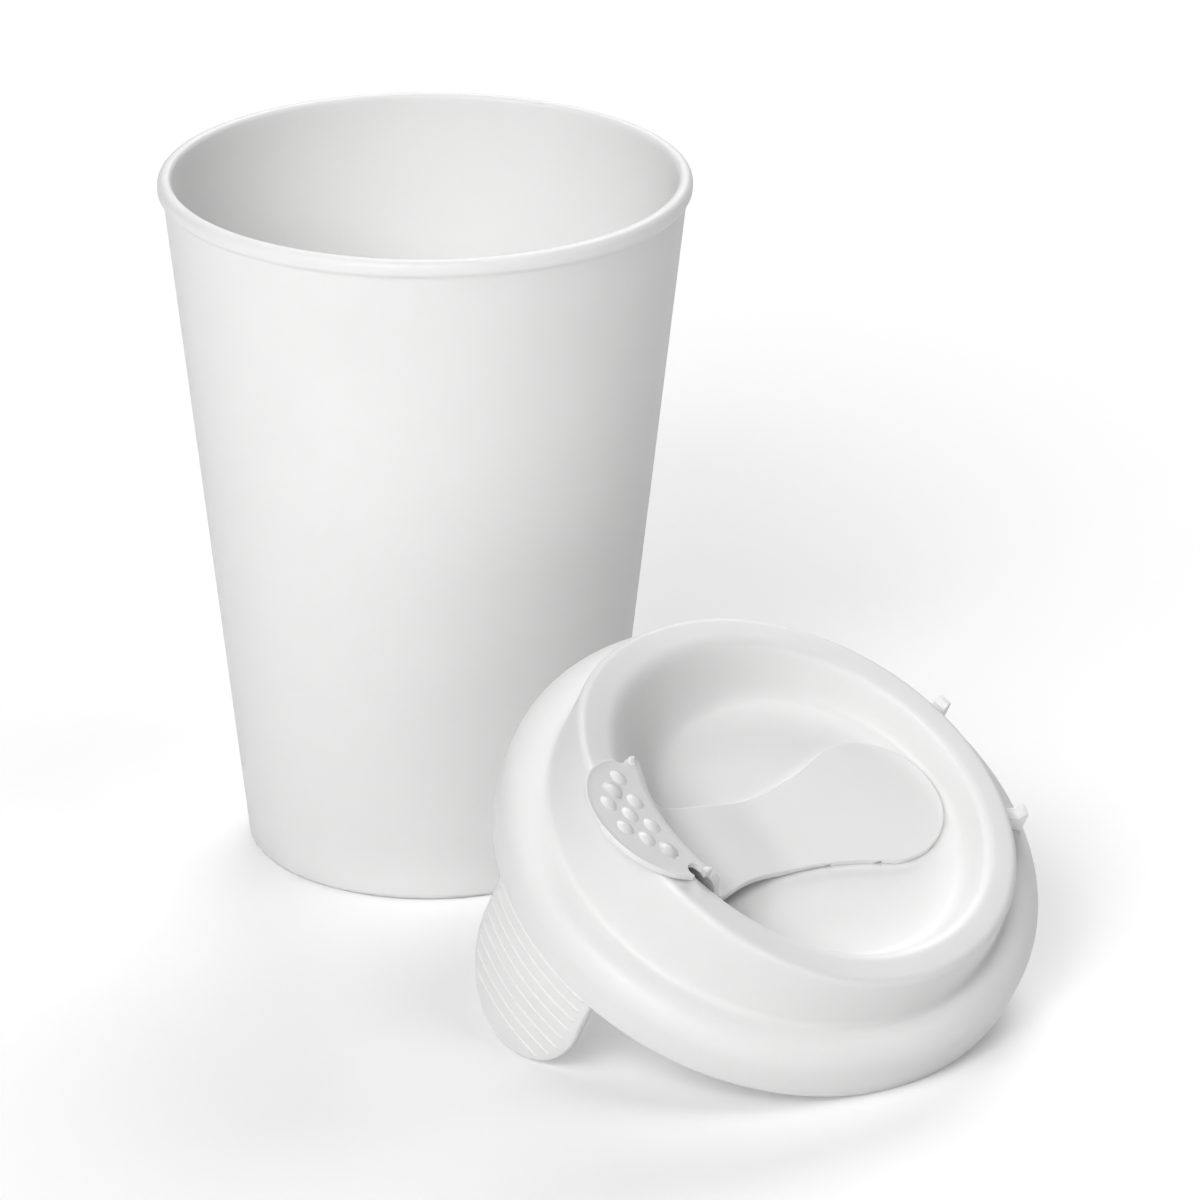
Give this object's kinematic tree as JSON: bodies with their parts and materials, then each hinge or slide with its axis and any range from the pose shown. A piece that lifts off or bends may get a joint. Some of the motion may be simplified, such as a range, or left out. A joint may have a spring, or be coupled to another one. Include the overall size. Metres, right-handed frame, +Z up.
{
  "type": "reusable cup with lid",
  "caption": "Tapered drinking cup, standing, with its push-on travel lid leaning beside it; the lid has a pull tab and a hinged flap that plugs the drinking slot.",
  "frame": {"origin": "on the table, at the middle of the ground that the cup and the lid beside it cover", "axes": "+Z up; the viewer looks along +Y; the cup stands at the back on the -X side, and the lid leans in front on the +X side"},
  "size_m": [0.1469, 0.1604, 0.12],
  "materials": {
    "cup_plastic": "satin white polypropylene",
    "lid_plastic": "satin white polypropylene",
    "flap_plastic": "satin white polypropylene"
  },
  "bodies": {
    "cup_and_lid": {"cup": "cup_plastic", "lid": "lid_plastic", "flap_anchor": "flap_plastic"},
    "flap": {"flap": "flap_plastic"}
  },
  "joints": [
    {"name": "flap_hinge", "type": "hinge", "parent": "cup_and_lid", "child": "flap", "pos_m": [0.03441, -0.03662, 0.03253], "axis": [-0.5183, 0.6855, 0.5113], "range_deg": [0, 145]}
  ]
}
